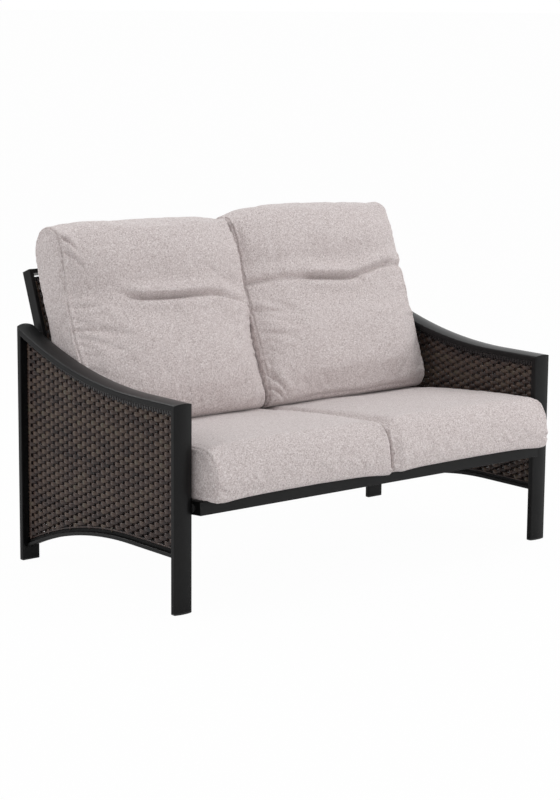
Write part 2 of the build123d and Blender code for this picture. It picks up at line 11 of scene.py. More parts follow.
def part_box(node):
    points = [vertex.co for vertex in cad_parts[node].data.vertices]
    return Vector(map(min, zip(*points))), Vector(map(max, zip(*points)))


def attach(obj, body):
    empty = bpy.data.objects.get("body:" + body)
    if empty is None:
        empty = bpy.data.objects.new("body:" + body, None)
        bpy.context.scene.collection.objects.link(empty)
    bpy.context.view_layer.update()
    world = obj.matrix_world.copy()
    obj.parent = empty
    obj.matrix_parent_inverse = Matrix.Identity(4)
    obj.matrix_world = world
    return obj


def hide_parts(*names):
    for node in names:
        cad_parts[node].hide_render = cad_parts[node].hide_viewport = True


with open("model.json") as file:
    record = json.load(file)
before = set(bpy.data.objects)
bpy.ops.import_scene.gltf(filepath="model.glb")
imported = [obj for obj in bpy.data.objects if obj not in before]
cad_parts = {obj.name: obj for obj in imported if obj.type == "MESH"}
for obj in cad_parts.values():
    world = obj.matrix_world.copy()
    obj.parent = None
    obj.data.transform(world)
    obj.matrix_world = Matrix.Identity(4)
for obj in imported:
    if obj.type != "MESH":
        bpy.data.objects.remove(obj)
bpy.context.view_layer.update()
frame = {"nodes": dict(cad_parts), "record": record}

nodes = frame["nodes"]
SIDES = {"left": -1, "right": 1}
MM = 0.001


# Places read from the frame

def edge(node_name, corner, axis):
    """One side of a node's box: corner 0 is the low one, 1 the high one."""
    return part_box(node_name)[corner][axis]


FRONT = edge("right_front_leg", 0, 1)
REAR = edge("right_rear_leg", 1, 1)
TUBE = edge("right_front_leg", 1, 1) - FRONT  # depth of the arm's tube
ARM_Z = edge("right_front_leg", 1, 2)
PANEL_X = (edge("right_woven_side", 0, 0) + edge("right_woven_side", 1, 0)) / 2

# The arm's crest and the arch as in the frame: level, then an arc, then (arm only) straight
ARM_START, ARM_RADIUS, ARM_ANGLE = 0.180, 1.450, radians(23)
ARCH_Z, ARCH_START, ARCH_RADIUS = 0.150, 0.230, 1.205

# The seat, from the underside of its front rail: backward along it, and square up from it
SEAT_TILT = radians(4.6)
SEAT_ORIGIN = Vector((0, FRONT - 0.0236, 0.2666))
SEAT_BACKWARD = Vector((0, cos(SEAT_TILT), -sin(SEAT_TILT)))
SEAT_UPWARD = Vector((0, sin(SEAT_TILT), cos(SEAT_TILT)))
SEAT_RAIL = 0.038

# The back, from the foot of its posts: up along it, and square out of its front
BACK_LEAN = radians(20.75)
BACK_FOOT = Vector((0, FRONT + 0.56599, 0.25729))
BACK_UPWARD = Vector((0, sin(BACK_LEAN), cos(BACK_LEAN)))
BACK_OUTWARD = Vector((0, -cos(BACK_LEAN), sin(BACK_LEAN)))
BACK_LENGTH = 0.6242
BACK_TOP_RAIL = 0.0127
BACK_SLOT = 0.008
BACK_PANEL_LOW = 0.0467
BACK_PANEL_OUT = -0.019


def crest(y, rise):
    """Height of the arm's crest curve, raised square to itself, at depth y from the front."""
    radius = ARM_RADIUS - rise
    end = ARM_START + radius * sin(ARM_ANGLE)
    if y <= ARM_START:
        return ARM_Z + rise
    if y <= end:
        return ARM_Z + ARM_RADIUS - sqrt(radius**2 - (y - ARM_START) ** 2)
    level = ARM_Z + ARM_RADIUS - radius * cos(ARM_ANGLE)
    return level + (y - end) * sin(ARM_ANGLE) / cos(ARM_ANGLE)


def arch(y, rise):
    """Height of the arch's underside, raised square to itself, at depth y from the front."""
    radius = ARCH_RADIUS + rise
    if y <= ARCH_START:
        return ARCH_Z + rise
    return ARCH_Z - ARCH_RADIUS + sqrt(radius**2 - (y - ARCH_START) ** 2)


# Helpers for materials and meshes

def node(tree, kind, **values):
    """A new node; each value goes to the input of that name, or else to the node's own setting."""
    made = tree.nodes.new(kind)
    for key, value in values.items():
        if key in made.inputs:
            made.inputs[key].default_value = value
        else:
            setattr(made, key, value)
    return made


def link(tree, source, out, target, into):
    tree.links.new(source.outputs[out], target.inputs[into])


def texture(tree, source, out, **values):
    """A noise texture laid by a node's place output."""
    made = node(tree, "ShaderNodeTexNoise", **values)
    link(tree, source, out, made, "Vector")
    return made


def stretch(tree, coords, scale):
    made = node(tree, "ShaderNodeMapping")
    made.inputs["Scale"].default_value = scale
    link(tree, coords, "Object", made, "Vector")
    return made


def remap(tree, source, out, low, high, start=0.0, end=1.0, **options):
    """A map range node that turns start to end of an output into low to high."""
    made = node(tree, "ShaderNodeMapRange", **options)
    for key, value in (("From Min", start), ("From Max", end), ("To Min", low), ("To Max", high)):
        made.inputs[key].default_value = value
    link(tree, source, out, made, "Value")
    return made


def maths(tree, operation, first, second):
    """A math node on two (node, output) pairs, of which the second may be a number."""
    made = node(tree, "ShaderNodeMath", operation=operation)
    link(tree, *first, made, 0)
    if isinstance(second, tuple):
        link(tree, *second, made, 1)
    else:
        made.inputs[1].default_value = second
    return made


def colours(tree, source, out, stops):
    """A colour ramp of (place, colour) stops on an output."""
    made = node(tree, "ShaderNodeValToRGB")
    elements = made.color_ramp.elements
    for element, (place, colour) in ((elements[0], stops[0]), (elements[1], stops[-1])):
        element.position = place
        element.color = (*colour, 1)
    for place, colour in stops[1:-1]:
        elements.new(place).color = (*colour, 1)
    link(tree, source, out, made, "Fac")
    return made


def roughen(tree, shader, source, out, strength, distance):
    """Gives the shader a bump from an output."""
    made = node(tree, "ShaderNodeBump", Strength=strength, Distance=distance)
    link(tree, source, out, made, "Height")
    link(tree, made, "Normal", shader, "Normal")


def new_material(name, base, rough, metallic=0.0):
    mat = bpy.data.materials.new(name)
    mat.use_nodes = True
    tree = mat.node_tree
    shader = tree.nodes["Principled BSDF"]
    shader.inputs["Base Color"].default_value = (*base, 1)
    shader.inputs["Roughness"].default_value = rough
    shader.inputs["Metallic"].default_value = metallic
    return mat, tree, shader


def put_mesh(name, verts, faces, smooth=True):
    mesh = bpy.data.meshes.new(name)
    mesh.from_pydata(verts, [], faces)
    mesh.validate()
    mesh.update()
    if smooth:
        mesh.polygons.foreach_set("use_smooth", [True] * len(mesh.polygons))
    obj = bpy.data.objects.new(name, mesh)
    bpy.context.collection.objects.link(obj)
    return obj


# Materials

def coat_material():
    """Charcoal powder coat: nearly black, semi-gloss, with a fine orange-peel surface."""
    mat, tree, shader = new_material("charcoal_powder_coat", (0.004, 0.004, 0.0042), 0.40)
    shader.inputs["Specular IOR Level"].default_value = 0.24
    coords = node(tree, "ShaderNodeTexCoord")
    peel = texture(tree, coords, "Object", Scale=420.0, Detail=3.0, Roughness=0.6)
    cloud = texture(tree, coords, "Object", Scale=9.0, Detail=4.0)
    stops = ((0.3, (0.0032, 0.0032, 0.0034)), (0.75, (0.0052, 0.0052, 0.0054)))
    link(tree, colours(tree, cloud, "Fac", stops), "Color", shader, "Base Color")
    link(tree, remap(tree, cloud, "Fac", 0.30, 0.40), "Result", shader, "Roughness")
    roughen(tree, shader, peel, "Fac", strength=0.12, distance=0.0004)
    return mat


def plain_material(name, base, rough, grain, depth, metallic=0.0):
    """Moulded or turned stuff: slight colour and surface grain."""
    mat, tree, shader = new_material(name, base, rough, metallic)
    coords = node(tree, "ShaderNodeTexCoord")
    speck = texture(tree, coords, "Object", Scale=grain, Detail=4.0)
    stops = ((0.0, [c * 0.8 for c in base]), (1.0, [c * 1.2 for c in base]))
    link(tree, colours(tree, speck, "Fac", stops), "Color", shader, "Base Color")
    roughen(tree, shader, speck, "Fac", strength=0.25, distance=depth)
    return mat


def wicker_material():
    """Flat resin strands in mixed dark browns, the tone changing along each strand; the tone attribute
    also carries painted shade in the dips between the stakes and painted light on the crests.
    """
    mat, tree, shader = new_material("resin_wicker", (0.07, 0.045, 0.037), 0.26)
    shader.inputs["Specular IOR Level"].default_value = 0.45
    coords = node(tree, "ShaderNodeTexCoord")
    # the tone attribute holds each strand's random tone plus its painted shade and light
    tone = node(tree, "ShaderNodeAttribute", attribute_name="tone")
    fibres = stretch(tree, coords, (60.0, 14.0, 240.0))
    streak = texture(tree, fibres, "Vector", Scale=3.0, Detail=3.0)
    patch = texture(tree, coords, "Object", Scale=16.0, Detail=2.0)
    offset = remap(tree, patch, "Fac", -0.42, 0.42)
    blend = maths(tree, "ADD", (tone, "Fac"), (offset, "Result"))
    browns = colours(tree, blend, "Value", (
        (0.0, (0.017, 0.014, 0.015)),
        (0.28, (0.045, 0.028, 0.025)),
        (0.5, (0.070, 0.045, 0.037)),
        (0.72, (0.105, 0.070, 0.053)),
        (1.0, (0.093, 0.078, 0.053)),
    ))
    shade = colours(tree, streak, "Fac", ((0.3, (0.55, 0.55, 0.55)), (0.7, (1, 1, 1))))
    fleck = node(tree, "ShaderNodeMix", data_type="RGBA", blend_type="MULTIPLY")
    fleck.inputs["Factor"].default_value = 0.55
    link(tree, browns, "Color", fleck, "A")
    link(tree, shade, "Color", fleck, "B")
    link(tree, fleck, "Result", shader, "Base Color")
    roughen(tree, shader, streak, "Fac", strength=0.5, distance=0.0004)
    return mat


def fabric_material():
    """Light greige tweed: crossed yarns with pale and taupe flecks."""
    mat, tree, shader = new_material("greige_tweed", (0.55, 0.50, 0.47), 0.92)
    shader.inputs["Specular IOR Level"].default_value = 0.2
    shader.inputs["Sheen Weight"].default_value = 0.25
    shader.inputs["Sheen Roughness"].default_value = 0.5
    coords = node(tree, "ShaderNodeTexCoord")
    yarns = []
    for scale in ((300.0, 900.0, 900.0), (900.0, 330.0, 330.0)):
        way = stretch(tree, coords, scale)
        yarns.append((texture(tree, way, "Vector", Scale=0.55, Detail=3.0, Roughness=0.65), "Fac"))
    cloth = maths(tree, "MULTIPLY", (maths(tree, "ADD", *yarns), "Value"), 0.5)
    fleck = texture(tree, coords, "Object", Scale=260.0, Detail=2.0, Roughness=0.7)
    spread = remap(tree, fleck, "Fac", -0.11, 0.11, 0.3, 0.7)
    tweed = maths(tree, "ADD", (cloth, "Value"), (spread, "Result"))
    greige = colours(tree, tweed, "Value", (
        (0.36, (0.380, 0.318, 0.310)),
        (0.47, (0.570, 0.502, 0.494)),
        (0.55, (0.640, 0.578, 0.570)),
        (0.66, (0.790, 0.745, 0.736)),
    ))
    link(tree, greige, "Color", shader, "Base Color")
    roughen(tree, shader, cloth, "Value", strength=0.35, distance=0.0006)
    return mat


COAT = coat_material()
WICKER = wicker_material()
FABRIC = fabric_material()
NYLON = plain_material("black_nylon", (0.012, 0.012, 0.012), 0.5, grain=300.0, depth=0.0002)
STEEL = plain_material("dark_steel", (0.12, 0.12, 0.125), 0.35, grain=240.0, depth=0.0001, metallic=1.0)
# painted shade: a dull near-black coat for the weave sill, darker than the frame's coat so that it
# stands for the shade in its recess
SILL_PAINTED_SHADE = plain_material("sill_black_painted_shade", (0.003, 0.003, 0.003), 0.85, grain=300.0, depth=0.0001)
WEBBING = plain_material("black_webbing", (0.02, 0.02, 0.02), 0.85, grain=700.0, depth=0.0006)

SLOT_MATERIALS = {
    "frame": COAT,
    "weave": WICKER,
    "cushion_fabric": FABRIC,
    "webbing": WEBBING,
    "black_nylon": NYLON,
    "fasteners": STEEL,
}
slots = {part["node"]: part["material_slot"] for part in frame["record"]["subparts"]}
for name, obj in nodes.items():
    # the weave sill gets the painted-shade black in place of the frame's coat
    material = SILL_PAINTED_SHADE if name.endswith("weave_sill") else SLOT_MATERIALS[slots[name]]
    for i in range(len(obj.material_slots)):
        obj.material_slots[i].material = material


# Woven panels

STAKE_PITCH = 0.023
STAKE_RADIUS = 0.0022
STAKE_TONE = 0.1
ROW_PITCH = 0.011
STRAND_HEIGHT = 0.0110
STRAND_THICK = 0.0034
ROW_SHARE, ROW_SWELL = 1.10, 0.24  # height between stakes, and what a stake adds, over STRAND_HEIGHT
ROW_LIFT = 0.0004  # a row's most uneven place, up or down
WAVE = 0.0044  # how far a strand's middle stands off the panel's middle at a stake
BAR_REACH = 0.0066  # the same beside a bar
FLATTEN = 0.25  # how much a wave's crest is flattened
PAINTED_DIP_SHADE, PAINTED_SHADE_LEVEL = 0.42, 0.62  # painted shade and light: strands are painted darker where they dip between the stakes and lighter on their crests
TONES, LOOP_TONES = (0.3, 0.7), (-0.6, -0.2)  # least and most tone of a strand
TONE_NOISE, TONE_SCALE, TONE_DRIFT = 0.16, 18, 50  # the tone's change on the way
SIDE_SPLITS, BACK_SPLITS = 5, 4  # points of a row from stake to stake

BAR = 0.010
WRAP_ROOM = 0.0025
SILL_RISE = 0.0205
TOP_BAR_RISE = -(TUBE + WRAP_ROOM + BAR / 2)
FRONT_BAR = TUBE + WRAP_ROOM + BAR / 2
REAR_BAR = REAR - FRONT - FRONT_BAR

LOOP_WIDTH = 0.0104
LOOP_TAILS = (0.009, 0.013)  # the loops over a bar end at two levels in turn
HEM_RISE, HEM_HEIGHT, HEM_OUT, HEM_STEP, HEM_WOBBLE = 0.0015, 0.005, 0.0040, 0.012, 0.0004
HEM_OVERRUN, HEM_TONE = 0.004, 0.35

FLAT = [
    (-0.5, 0.0), (-0.37, 0.38), (0.0, 0.5), (0.37, 0.38),
    (0.5, 0.0), (0.37, -0.38), (0.0, -0.5), (-0.37, -0.38),
]
ROUND = [(0.5 * cos(pi * k / 3), 0.5 * sin(pi * k / 3)) for k in range(6)]

# A strand's middle on its way round a square bar, from the bar's middle
FAR, MID, NEAR = 0.0062, 0.0056, 0.0035
TURN = [(NEAR, FAR), (MID, MID), (FAR, NEAR), (FAR, -NEAR), (MID, -MID), (NEAR, -FAR)]
AROUND = TURN + [(0.0, -FAR), (-0.0055, -0.0054)]
LOOP_BACK = 0.0045


class Weave:
    """Collects strands as closed tubes in a panel's own frame: u along the rows, w up, t out."""

    def __init__(self, place, seed):
        self.place = place
        self.rng = random.Random(seed)
        self.verts, self.faces, self.tones_and_shades = [], [], []

    def lay(self, points, wide, heights, thick, section=FLAT, tone=None, painted_shades=None):
        """Lays one strand along points, its width along wide; the per-point values given add painted
        shade and light to its tone on the way.
        """
        first = len(self.verts)
        count = len(section)
        tone = self.rng.uniform(*TONES) if tone is None else tone
        drift = self.rng.uniform(0, TONE_DRIFT)
        for i, point in enumerate(points):
            along = (points[min(len(points) - 1, i + 1)] - points[max(0, i - 1)]).normalized()
            out = along.cross(wide).normalized()
            across = out.cross(along)
            spot = Vector((point.x * TONE_SCALE, point.y * TONE_SCALE, drift))
            shade = tone + TONE_NOISE * noise.noise(spot)
            # painted shade and light, from how deep the strand lies, added to its tone
            if painted_shades:
                shade += painted_shades[i]
            for a, b in section:
                self.verts.append(self.place(point + across * (a * heights[i]) + out * (b * thick)))
                self.tones_and_shades.append(shade)
        last = first + (len(points) - 1) * count
        for ring in range(first, last, count):
            for j in range(count):
                k = (j + 1) % count
                self.faces.append((ring + j, ring + k, ring + count + k, ring + count + j))
        self.faces.append(tuple(first + j for j in reversed(range(count))))
        self.faces.append(tuple(last + j for j in range(count)))

    def row(self, u0, u1, w, parity, pitch, origin, splits, start_bar=True):
        """One strand over and under the stakes, wrapped round a bar at u1 and, if start_bar, at u0."""
        line = []
        count = max(2, round((u1 - u0) / pitch * splits))
        lift = self.rng.uniform(-ROW_LIFT, ROW_LIFT)
        for i in range(count + 1):
            u = u0 + (u1 - u0) * i / count
            swing = cos(pi * ((u - origin) / pitch + parity))
            near = max(0.0, 1 - (u1 - u) / pitch)
            if start_bar:
                near = max(near, 1 - (u - u0) / pitch)
            reach = WAVE + (BAR_REACH - WAVE) * near * near
            flat = swing * (1 + FLATTEN - FLATTEN * swing * swing)
            line.append((u, reach * flat, ROW_SHARE + ROW_SWELL * abs(swing)))
        if start_bar:
            sign = 1 if line[0][1] > 0 else -1
            line = [(u0 - a, sign * b, 1.0) for a, b in reversed(AROUND)] + line
        sign = 1 if line[-1][1] > 0 else -1
        line += [(u1 + a, sign * b, 1.0) for a, b in AROUND]
        points = [Vector((u, w + lift, t)) for u, t, _ in line]
        # painted shade where the strand dips between the stakes, painted light on its crests
        painted_shades = [PAINTED_DIP_SHADE * (min(1.0, abs(t) / WAVE) - PAINTED_SHADE_LEVEL) for _, t, _ in line]
        heights = [STRAND_HEIGHT * share for _, _, share in line]
        self.lay(points, Vector((0, 1, 0)), heights, STRAND_THICK, painted_shades=painted_shades)

    def loops(self, count, middle, along_at):
        """Short strands side by side over a bar, down both faces of the panel."""
        out = Vector((0, 0, 1))
        for k in range(count):
            along = along_at(k)
            up = Vector((-along.y, along.x, 0))
            tail, other_tail = reversed(LOOP_TAILS) if k % 2 else LOOP_TAILS
            line = [(-tail, MID), (-LOOP_BACK, FAR)] + TURN + [(-LOOP_BACK, -FAR), (-other_tail, -MID)]
            points = [middle(k) + up * a + out * b for a, b in line]
            tone = self.rng.uniform(*LOOP_TONES)
            self.lay(points, along, [LOOP_WIDTH] * len(points), STRAND_THICK, tone=tone)

    def stake(self, u, low, high):
        points = [Vector((u, low + (high - low) * k / 3, 0)) for k in range(4)]
        size = 2 * STAKE_RADIUS
        self.lay(points, Vector((1, 0, 0)), [size] * len(points), size, ROUND, tone=STAKE_TONE)

    def hem(self, curve, u0, u1, t):
        """A strand that runs along the panel's lower edge on one face."""
        count = max(2, round((u1 - u0) / HEM_STEP))
        points = []
        for i in range(count + 1):
            u = u0 + (u1 - u0) * i / count
            points.append(Vector((u, curve(u), t + (HEM_WOBBLE if i % 2 else -HEM_WOBBLE))))
        self.lay(points, Vector((0, 1, 0)), [HEM_HEIGHT] * len(points), STRAND_THICK, tone=HEM_TONE)

    def hang(self, name, cad):
        """Makes the panel's mesh and puts it in place of its solid."""
        obj = put_mesh(name, self.verts, self.faces)
        # the tone layer: random tone plus painted shade and light
        layer = obj.data.attributes.new("tone", "FLOAT", "POINT")
        layer.data.foreach_set("value", self.tones_and_shades)
        mesh = bmesh.new()
        mesh.from_mesh(obj.data)
        bmesh.ops.recalc_face_normals(mesh, faces=mesh.faces)
        mesh.to_mesh(obj.data)
        mesh.free()
        obj.data.materials.append(WICKER)
        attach(obj, "frame")
        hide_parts(cad)


def crossing(test, u0, u1):
    """Where test turns true between u0, where it is false, and u1, where it is true."""
    for _ in range(30):
        middle = (u0 + u1) / 2
        if test(middle):
            u1 = middle
        else:
            u0 = middle
    return u1


def woven_side(side_name):
    side = SIDES[side_name]
    stake_tuck, slack_low, slack_high = 0.002, 0.001, 0.003
    first_row, last_row, shortest_row = 0.55, 0.3, 0.01
    probe = 0.001

    def place(point):
        return Vector((side * (PANEL_X + point.z), FRONT + point.x, point.y))

    def under(u):
        return crest(u, TOP_BAR_RISE - BAR / 2)

    def over(u):
        return arch(u, SILL_RISE)

    weave = Weave(place, 11 + side)
    count = round((REAR_BAR - FRONT_BAR) / STAKE_PITCH)
    pitch = (REAR_BAR - FRONT_BAR) / count
    for k in range(1, count):
        u = FRONT_BAR + k * pitch
        weave.stake(u, over(u) - stake_tuck, under(u) + stake_tuck)

    w = over(REAR_BAR) + ROW_PITCH * first_row
    parity = 0
    while w < under(REAR_BAR) - ROW_PITCH * last_row:
        def inside(u):
            return over(u) + slack_low < w < under(u) + slack_high

        if inside(FRONT_BAR):
            weave.row(FRONT_BAR, REAR_BAR, w, parity, pitch, FRONT_BAR, SIDE_SPLITS)
        elif inside(REAR_BAR):
            start = crossing(inside, FRONT_BAR, REAR_BAR)
            if REAR_BAR - start > shortest_row:
                weave.row(start, REAR_BAR, w, parity, pitch, FRONT_BAR, SIDE_SPLITS, False)
        w += ROW_PITCH
        parity = 1 - parity

    def bar_middle(k):
        u = FRONT_BAR + k * pitch / 2
        return Vector((u, crest(u, TOP_BAR_RISE), 0))

    def bar_along(k):
        u = FRONT_BAR + k * pitch / 2
        rise = crest(u + probe, TOP_BAR_RISE) - crest(u - probe, TOP_BAR_RISE)
        return Vector((2 * probe, rise, 0)).normalized()

    weave.loops(2 * count + 1, bar_middle, bar_along)
    for t in (HEM_OUT, -HEM_OUT):
        weave.hem(lambda u: over(u) + HEM_RISE, FRONT_BAR - HEM_OVERRUN, REAR_BAR + HEM_OVERRUN, t)
    weave.hang(side_name + "_woven_panel", side_name + "_woven_side")


def woven_back():
    bar_low, bar_high = edge("right_back_weave_bar", 0, 0), edge("right_back_weave_bar", 1, 0)
    half = bar_low + (bar_high - bar_low) / 2
    low, high = BACK_PANEL_LOW, BACK_LENGTH - BACK_TOP_RAIL - BACK_SLOT - WRAP_ROOM - BAR
    low_tuck, high_tuck = 0.001, 0.002

    def place(point):
        spot = BACK_FOOT + BACK_UPWARD * point.y + BACK_OUTWARD * (point.z + BACK_PANEL_OUT)
        return Vector((point.x, spot.y, spot.z))

    weave = Weave(place, 31)
    count = round(2 * half / STAKE_PITCH)
    pitch = 2 * half / count
    for k in range(1, count):
        weave.stake(-half + k * pitch, low + low_tuck, high + high_tuck)
    rows = round((high - low) / ROW_PITCH)
    for k in range(rows):
        w = low + (high - low) * (k + 0.5) / rows
        weave.row(-half, half, w, k % 2, pitch, -half, BACK_SPLITS)
    weave.loops(
        2 * count + 1,
        lambda k: Vector((-half + k * pitch / 2, high + BAR / 2, 0)),
        lambda k: Vector((1, 0, 0)),
    )
    weave.hang("woven_back_panel", "woven_back")


woven_side("left")
woven_side("right")
woven_back()


# Cushions

SEAT_AT, ALONG, ABOVE = np.array(SEAT_ORIGIN), np.array(SEAT_BACKWARD), np.array(SEAT_UPWARD)
BACK_AT, UP, OUT = np.array(BACK_FOOT), np.array(BACK_UPWARD), np.array(BACK_OUTWARD)

VOXEL = 0.007
SEAM_OUTER, SEAM_INNER = 0.6275, 0.0062  # where the side seams lie, from the middle of the seat
SEAM_BAND = 0.006  # a seam's line is read from the points this near to its plane
SEAM_BINS, SEAM_SPLITS = 180, 6
SEAM_OUTER_PART = 0.6  # of the points in one direction, the line takes those past this share
SEAM_REACH = 0.014  # the mesh is finer this near to a seam
SEAM_HELD = (0.004, 0.012)  # the cloth is held up to the first distance and free from the second
SEAM_GROOVE, SEAM_LIP, SEAM_LIP_WIDTH, SEAM_LIP_SHARE = 0.0024, 0.007, 0.005, 0.35
GATHER_PITCHES, GATHER_PATCH, GATHER_REACH = (0.019, 0.027, 0.043, 0.071), 0.31, 0.013
GATHER_RANGE, GATHER_LEAST, GATHER_FROM = 2.5, 0.25, 0.004
CLOUD_WAVES, CLOUD_SPREAD, CLOUD_RANGE = 14, (0.7, 1.6), 3.7
CLOTH_FRAMES = 20

# A fold's outline, in shares of its width, and its foot as a share of the roll over it
GROOVE_BELOW, GROOVE_ABOVE, ROLL_FROM, ROLL_AT, FOOT_AT, FOOT_SHARE = 0.5, 1.25, -0.2, 2.6, 2.4, 0.45


def points_of(obj):
    flat = np.empty(len(obj.data.vertices) * 3)
    obj.data.vertices.foreach_get("co", flat)
    return flat.reshape(-1, 3)


def normals_of(obj):
    flat = np.empty(len(obj.data.vertices) * 3)
    obj.data.vertices.foreach_get("normal", flat)
    return flat.reshape(-1, 3)


def set_points(obj, points):
    obj.data.vertices.foreach_set("co", points.ravel())
    obj.data.update()


def moved(points, normals, amount):
    return points + normals * amount[:, None]


def seat_frame(points):
    """How far points lie behind and above the seat's origin, along the seat and square to it."""
    away = points - SEAT_AT
    return away @ ALONG, away @ ABOVE


def back_frame(points):
    """How far points lie up the back, and out of its front."""
    away = points - BACK_AT
    return away @ UP, away @ OUT


def applied(obj):
    """Turns the object's modifiers into its mesh."""
    graph = bpy.context.evaluated_depsgraph_get()
    mesh = bpy.data.meshes.new_from_object(obj.evaluated_get(graph))
    obj.modifiers.clear()
    obj.data = mesh


def steps(low, high, value):
    """0 at low to 1 at high, with a smooth start and end; low may be the larger."""
    share = np.clip((value - low) / (high - low), 0, 1)
    return share * share * (3 - 2 * share)


def hill(value, middle, width):
    """1 at middle, fading to both sides."""
    return np.exp(-(((value - middle) / width) ** 2))


def table(value, pairs):
    return np.interp(value, [a for a, _ in pairs], [b for _, b in pairs])


def cushion_blank(name, cad):
    """A dense closed mesh in the shape of the cushion's solid."""
    mesh = nodes[cad].data.copy()
    mesh.materials.clear()
    obj = bpy.data.objects.new(name, mesh)
    bpy.context.collection.objects.link(obj)
    work = bmesh.new()
    work.from_mesh(mesh)
    bmesh.ops.remove_doubles(work, verts=work.verts, dist=0.00001)
    work.to_mesh(mesh)
    work.free()
    remesh = obj.modifiers.new("remesh", "REMESH")
    remesh.mode = "VOXEL"
    remesh.voxel_size = VOXEL
    soften = obj.modifiers.new("soften", "SMOOTH")
    soften.factor = 0.5
    soften.iterations = 4
    applied(obj)
    return obj


def line_distance(a, b, line):
    """Signed distance from points (a, b) to a line of (a, b, strength), and the strength there."""
    best = np.full(a.shape, 1e9)
    sign = np.ones(a.shape)
    power = np.zeros(a.shape)
    for (a0, b0, s0), (a1, b1, s1) in zip(line, line[1:]):
        da, db = a1 - a0, b1 - b0
        share = np.clip(((a - a0) * da + (b - b0) * db) / (da * da + db * db), 0, 1)
        away = np.hypot(a - a0 - share * da, b - b0 - share * db)
        closer = away < best
        best = np.where(closer, away, best)
        power = np.where(closer, s0 + share * (s1 - s0), power)
        side = np.sign((b - b0) * da - (a - a0) * db) * np.sign(da + 1e-12)
        sign = np.where(closer, side, sign)
    return best * sign, power


def crease(a, b, line, depth, width, over):
    """A fold: a groove along the line, the cloth rolling over it from above, and a lower foot."""
    away, power = line_distance(a, b, line)
    groove = -depth * hill(away, 0, np.where(away < 0, GROOVE_BELOW * width, GROOVE_ABOVE * width))
    roll = over * hill(away, ROLL_AT * width, ROLL_AT * width) * steps(ROLL_FROM * width, width, away)
    foot = FOOT_SHARE * over * hill(away, -FOOT_AT * width, FOOT_AT * width)
    foot *= steps(ROLL_FROM * width, width, -away)
    return power * (groove + roll + foot)


def clouds(points, scale, seed):
    """Smooth noise of about -1 to 1."""
    rng = np.random.default_rng(seed)
    total = np.zeros(len(points))
    for _ in range(CLOUD_WAVES):
        way = rng.normal(size=3)
        way *= 2 * np.pi / (scale * rng.uniform(*CLOUD_SPREAD) * np.linalg.norm(way))
        total += np.sin(points @ way + rng.uniform(0, 2 * np.pi))
    return total / CLOUD_RANGE


def uneven(points, layers, share, seed):
    """Soft unevenness: clouds of (height, size), where share lets them."""
    total = np.zeros(len(points))
    for i, (height, size) in enumerate(layers):
        total += height * clouds(points, size, seed + i) * share
    return total


def seam_loop(points, x):
    """The seam's closed line: the outline of the points near x, as ordered points."""
    near = points[np.abs(points[:, 0] - x) < SEAM_BAND]
    centre = (near[:, 1:].max(0) + near[:, 1:].min(0)) / 2
    angle = np.arctan2(near[:, 2] - centre[1], near[:, 1] - centre[0])
    bins = np.floor((angle + np.pi) / (2 * np.pi) * SEAM_BINS).astype(int)
    loop = []
    for k in range(SEAM_BINS):
        here = near[bins == k]
        if len(here):
            far = np.hypot(here[:, 1] - centre[0], here[:, 2] - centre[1])
            pick = here[far >= np.quantile(far, SEAM_OUTER_PART)].mean(0)
            loop.append((x, pick[1], pick[2]))
    loop = np.array(loop)
    for _ in range(2):
        loop = (np.roll(loop, 1, 0) + 2 * loop + np.roll(loop, -1, 0)) / 4
    return loop


def seam_field(points, x):
    """Distance of every point to the seam at x, and how far along it that place is."""
    loop = seam_loop(points, x)
    dense = []
    run = []
    total = 0.0
    for a, b in zip(loop, np.roll(loop, -1, 0)):
        length = np.linalg.norm(b - a)
        for k in range(SEAM_SPLITS):
            dense.append(a + (b - a) * k / SEAM_SPLITS)
            run.append(total + length * k / SEAM_SPLITS)
        total += length
    tree = kdtree.KDTree(len(dense))
    for i, spot in enumerate(dense):
        tree.insert(spot, i)
    tree.balance()
    away = np.empty(len(points))
    along = np.empty(len(points))
    for i, point in enumerate(points):
        _, hit, gap = tree.find(point)
        away[i] = gap
        along[i] = run[hit]
    return away, along


def seam_shape(away, along, depth, pucker, seed):
    """The sunk seam line and the small gathers beside it."""
    rng = np.random.default_rng(seed)
    wave = np.zeros(len(away))
    for pitch in GATHER_PITCHES:
        wave += np.sin(2 * np.pi * along / (pitch * rng.uniform(0.9, 1.1)) + rng.uniform(0, 6))
    patch = 0.5 + 0.5 * np.sin(2 * np.pi * along / GATHER_PATCH + rng.uniform(0, 6))
    sunk = -depth * hill(away, 0, SEAM_GROOVE)
    lip = SEAM_LIP_SHARE * depth * hill(away, SEAM_LIP, SEAM_LIP_WIDTH)
    gather = pucker * wave / GATHER_RANGE * (GATHER_LEAST + (1 - GATHER_LEAST) * patch)
    return sunk + lip + gather * np.exp(-away / GATHER_REACH) * steps(0.0, GATHER_FROM, away)


def press_seams(obj, seams, depth, puckers, seed):
    """Sinks the seams at seams and gathers the cloth beside each by its pucker."""
    points, normals = points_of(obj), normals_of(obj)
    for i, (x, pucker) in enumerate(zip(seams, puckers)):
        away, along = seam_field(points, x)
        points = moved(points, normals, seam_shape(away, along, depth, pucker, seed + i))
    set_points(obj, points)


def held_seams(points, seams):
    """1 on the seams, 0 a little way off them."""
    held = np.zeros(len(points))
    for x in seams:
        held = np.maximum(held, 1 - steps(*SEAM_HELD, seam_field(points, x)[0]))
    return held


def crowd(obj, seams):
    """Divides the mesh once more beside the seams."""
    points = points_of(obj)
    away = np.full(len(points), 1.0)
    for x in seams:
        away = np.minimum(away, seam_field(points, x)[0])
    mesh = bmesh.new()
    mesh.from_mesh(obj.data)
    mesh.verts.ensure_lookup_table()
    near = [line for line in mesh.edges if all(away[end.index] < SEAM_REACH for end in line.verts)]
    bmesh.ops.subdivide_edges(mesh, edges=near, cuts=1, use_grid_fill=True)
    mesh.to_mesh(obj.data)
    mesh.free()


